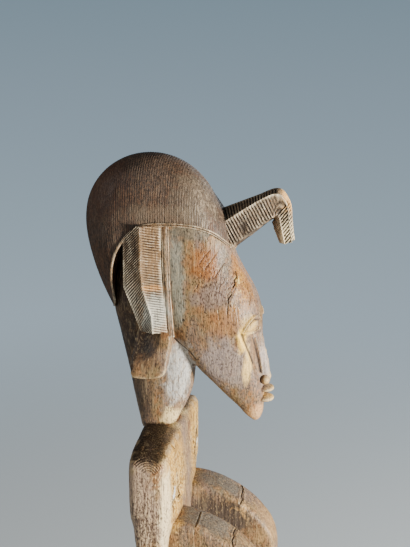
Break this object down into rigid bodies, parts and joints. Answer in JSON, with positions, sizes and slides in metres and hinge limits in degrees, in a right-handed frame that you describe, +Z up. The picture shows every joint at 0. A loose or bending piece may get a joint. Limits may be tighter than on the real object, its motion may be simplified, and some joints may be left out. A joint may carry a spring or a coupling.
{
  "type": "seated female figure",
  "caption": "Carved wooden figure of a woman sitting upright on a round stool over a low base, with a domed incised coiffure, a hooked forehead plait, side plaits and a long pointed face.",
  "frame": {"origin": "centre of the underside of the round base, on the surface that the figure stands on", "axes": "+Z up through the figure, -Y the way she faces, +X towards her left side"},
  "size_m": [0.18, 0.18, 0.5997],
  "materials": {
    "carved_wood": "old hardwood with a dark oiled patina, worn lighter on the edges"
  },
  "bodies": {
    "root": {"seated_figure": "carved_wood"}
  },
  "joints": []
}
